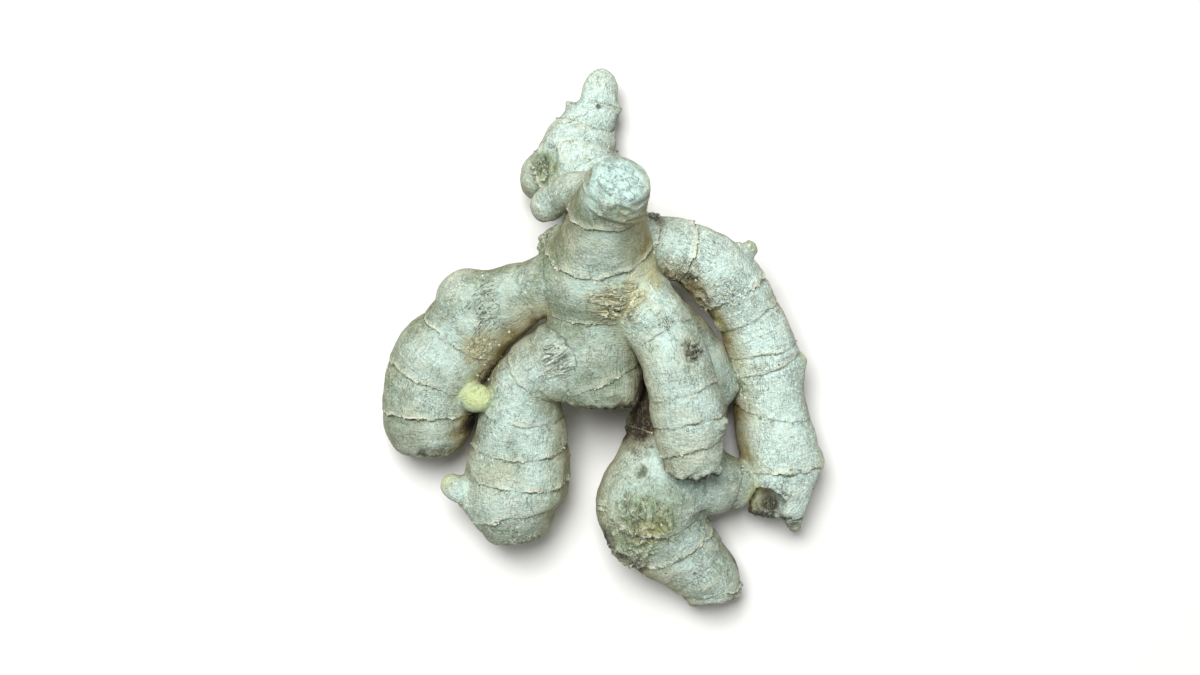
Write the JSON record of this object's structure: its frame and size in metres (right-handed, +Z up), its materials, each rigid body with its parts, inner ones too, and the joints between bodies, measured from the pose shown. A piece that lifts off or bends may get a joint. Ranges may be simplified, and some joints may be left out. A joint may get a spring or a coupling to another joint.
{
  "type": "ginger root",
  "caption": "Fresh ginger rhizome: a ringed mother piece with arching plump fingers and small side buds, lying on its fingers.",
  "frame": {"origin": "on the table, under the middle of the rhizome's outer box", "axes": "+Z up from the table, +Y towards the tapered finger, +X towards the long ringed finger with the dried end"},
  "size_m": [0.142, 0.1734, 0.0721],
  "materials": {
    "ginger_skin": "matte, dry papery skin"
  },
  "bodies": {
    "root": {"ginger_rhizome": "ginger_skin"}
  },
  "joints": []
}
